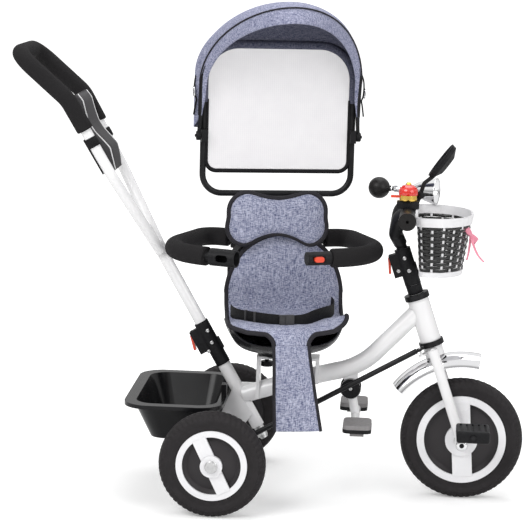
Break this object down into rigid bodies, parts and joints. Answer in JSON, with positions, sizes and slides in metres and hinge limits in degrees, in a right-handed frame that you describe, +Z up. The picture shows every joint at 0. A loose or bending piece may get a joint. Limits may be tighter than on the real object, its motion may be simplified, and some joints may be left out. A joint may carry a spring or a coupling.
{
  "type": "children's tricycle",
  "caption": "Children's push tricycle with a swivelling padded seat, folding canopy, safety bar, front and rear baskets and a steering push handle.",
  "frame": {"origin": "on the floor under the middle of the overall box", "axes": "+X forward to the front wheel, +Y to the rider's left, +Z up"},
  "size_m": [1.05, 0.5, 1.0051],
  "materials": {
    "white_paint": "gloss",
    "head_paint": "gloss",
    "black_paint": "satin",
    "cup_metal": "satin",
    "bare_steel": "satin",
    "black_plastic": "satin",
    "basket_gloss": "gloss",
    "tyre_foam": "matt",
    "wheel_disc": "satin",
    "wheel_trim": "gloss",
    "chrome": "polished",
    "foam": "matt",
    "grip_rubber": "matt",
    "red_plastic": "gloss",
    "bell_gold": "polished",
    "bell_red": "gloss",
    "basket_white": "gloss",
    "basket_band": "satin",
    "ribbon": "satin",
    "melange_cloth": "matt",
    "roof_cloth": "matt",
    "panel_cloth": "matt",
    "webbing": "matt",
    "pouch_cloth": "matt",
    "tread_grey": "matt"
  },
  "bodies": {
    "frame": {"main_frame": "white_paint", "head_tube": "head_paint", "headset_cups": "cup_metal", "seat_bracket": "white_paint", "rear_axle": "bare_steel", "rear_basket": "basket_gloss"},
    "fork": {"fork": "white_paint", "front_fender": "chrome", "stem_sleeve": "black_plastic"},
    "handlebar": {"handlebar": "black_paint", "grips": "grip_rubber", "bell_base": "bell_gold", "bell_dome": "bell_red", "horn_bulb": "grip_rubber", "horn_trumpet": "chrome", "accessory_clamps": "black_plastic", "basket_frame": "basket_white", "basket_weave": "basket_band", "basket_straps": "black_plastic", "ribbon_bow": "ribbon"},
    "bell_thumb_lever": {"bell_lever": "red_plastic"},
    "mirror": {"mirror": "black_plastic"},
    "stem_lever": {"handlebar_lever": "red_plastic"},
    "front_wheel": {"front_tyre": "tyre_foam", "front_disc": "wheel_disc", "front_trim": "wheel_trim", "crank": "bare_steel"},
    "left_pedal": {"pedal_left": "black_plastic"},
    "right_pedal": {"pedal_right": "black_plastic"},
    "rear_left_wheel": {"rear_left_tyre": "tyre_foam", "rear_left_disc": "wheel_disc", "rear_left_trim": "wheel_trim"},
    "rear_right_wheel": {"rear_right_tyre": "tyre_foam", "rear_right_disc": "wheel_disc", "rear_right_trim": "wheel_trim"},
    "handle_turner": {"handle_steerer": "bare_steel", "handle_sleeve": "black_plastic"},
    "sleeve_lever": {"handle_lever": "red_plastic"},
    "push_handle": {"push_handle_tube": "white_paint", "handle_foam": "foam", "pouch": "pouch_cloth"},
    "steering_rod": {"steering_rod": "black_paint"},
    "knob": {"seat_knob": "black_plastic"},
    "seat": {"swivel_base": "black_plastic", "seat_shell": "black_plastic", "seat_pad": "melange_cloth", "leg_flap": "melange_cloth", "headrest": "melange_cloth", "lap_belt": "webbing", "canopy_frame": "black_paint", "canopy_back_panel": "panel_cloth"},
    "left_arm": {"arm_left": "black_plastic", "arm_left_foam": "foam"},
    "right_arm": {"arm_right": "black_plastic", "arm_right_foam": "foam"},
    "latch": {"latch_button": "red_plastic"},
    "canopy": {"canopy_front_hoop": "black_paint", "canopy_roof": "roof_cloth"},
    "footrest": {"footrest_post": "white_paint", "footrest_platforms": "tread_grey"}
  },
  "joints": [
    {"name": "steer", "type": "hinge", "parent": "frame", "child": "fork", "pos_m": [0.4, 0, 0.125], "axis": [-0.3289, 0, 0.9444], "range_deg": [-25, 25]},
    {"name": "handle_turn", "type": "hinge", "parent": "frame", "child": "handle_turner", "pos_m": [-0.019, 0, 0.1315], "axis": [-0.5, 0, 0.866], "range_deg": [-25, 25]},
    {"name": "rod_pivot", "type": "hinge", "parent": "handle_turner", "child": "steering_rod", "pos_m": [-0.03747, -0.036, 0.11449], "axis": [-0.5, 0, 0.866], "range_deg": [-25, 25]},
    {"name": "front_wheel_spin", "type": "hinge", "parent": "fork", "child": "front_wheel", "pos_m": [0.4, 0, 0.125], "axis": [0, 1, 0], "continuous": true},
    {"name": "left_pedal_spin", "type": "hinge", "parent": "front_wheel", "child": "left_pedal", "pos_m": [0.38028, 0.109, 0.08792], "axis": [0, 1, 0], "continuous": true},
    {"name": "right_pedal_spin", "type": "hinge", "parent": "front_wheel", "child": "right_pedal", "pos_m": [0.41972, -0.109, 0.16208], "axis": [0, 1, 0], "continuous": true},
    {"name": "rear_left_wheel_spin", "type": "hinge", "parent": "frame", "child": "rear_left_wheel", "pos_m": [-0.092, 0.217, 0.106], "axis": [0, 1, 0], "continuous": true},
    {"name": "rear_right_wheel_spin", "type": "hinge", "parent": "frame", "child": "rear_right_wheel", "pos_m": [-0.092, -0.217, 0.106], "axis": [0, 1, 0], "continuous": true},
    {"name": "handlebar_height", "type": "slide", "parent": "fork", "child": "handlebar", "axis": [-0.3289, 0, 0.9444], "range_m": [0, 0.05]},
    {"name": "stem_lever_open", "type": "hinge", "parent": "fork", "child": "stem_lever", "pos_m": [0.24125, 0, 0.49116], "axis": [0, 1, 0], "range_deg": [0, 78]},
    {"name": "bell_ring", "type": "hinge", "parent": "handlebar", "child": "bell_thumb_lever", "pos_m": [0.26, -0.119, 0.6365], "axis": [0, 0, 1], "range_deg": [0, 8], "stiffness_Nm_per_rad": 0.05},
    {"name": "mirror_tilt", "type": "hinge", "parent": "handlebar", "child": "mirror", "pos_m": [0.297, -0.103, 0.64], "axis": [0, 1, 0], "range_deg": [-15, 15]},
    {"name": "handle_length", "type": "slide", "parent": "handle_turner", "child": "push_handle", "axis": [-0.5, 0, 0.866], "range_m": [-0.045, 0]},
    {"name": "sleeve_lever_open", "type": "hinge", "parent": "handle_turner", "child": "sleeve_lever", "pos_m": [-0.15925, 0, 0.31542], "axis": [0, 1, 0], "range_deg": [0, 100]},
    {"name": "knob_turn", "type": "hinge", "parent": "frame", "child": "knob", "pos_m": [-0.004, 0, 0.283], "axis": [0, 0, 1], "continuous": true},
    {"name": "seat_swivel", "type": "hinge", "parent": "frame", "child": "seat", "pos_m": [0.024, 0, 0.283], "axis": [0, 0, 1], "range_deg": [-12, 78], "deforming": ["leg_flap"]},
    {"name": "left_arm_swing", "type": "hinge", "parent": "seat", "child": "left_arm", "pos_m": [-0.08122, 0.0814, 0.51], "axis": [0, 0, -1], "range_deg": [-31, 3]},
    {"name": "right_arm_swing", "type": "hinge", "parent": "seat", "child": "right_arm", "pos_m": [0.08702, 0.11716, 0.51], "axis": [0, 0, 1], "range_deg": [-11, 4]},
    {"name": "latch_press", "type": "slide", "parent": "right_arm", "child": "latch", "axis": [-0.3907, 0.9205, 0], "range_m": [0, 0.004], "stiffness_N_per_m": 300},
    {"name": "canopy_fold", "type": "hinge", "parent": "seat", "child": "canopy", "pos_m": [0.00071, 0.10955, 0.722], "axis": [-0.9781, -0.2079, 0], "range_deg": [0, 32], "deforming": ["canopy_roof"]},
    {"name": "footrest_fold", "type": "hinge", "parent": "frame", "child": "footrest", "pos_m": [0.17, 0, 0.221], "axis": [0, 1, 0], "range_deg": [0, 50]}
  ],
  "couplings": [
    {"joint": "handle_turn", "follows": "steer", "ratio": 1},
    {"joint": "rod_pivot", "follows": "steer", "ratio": -1}
  ]
}
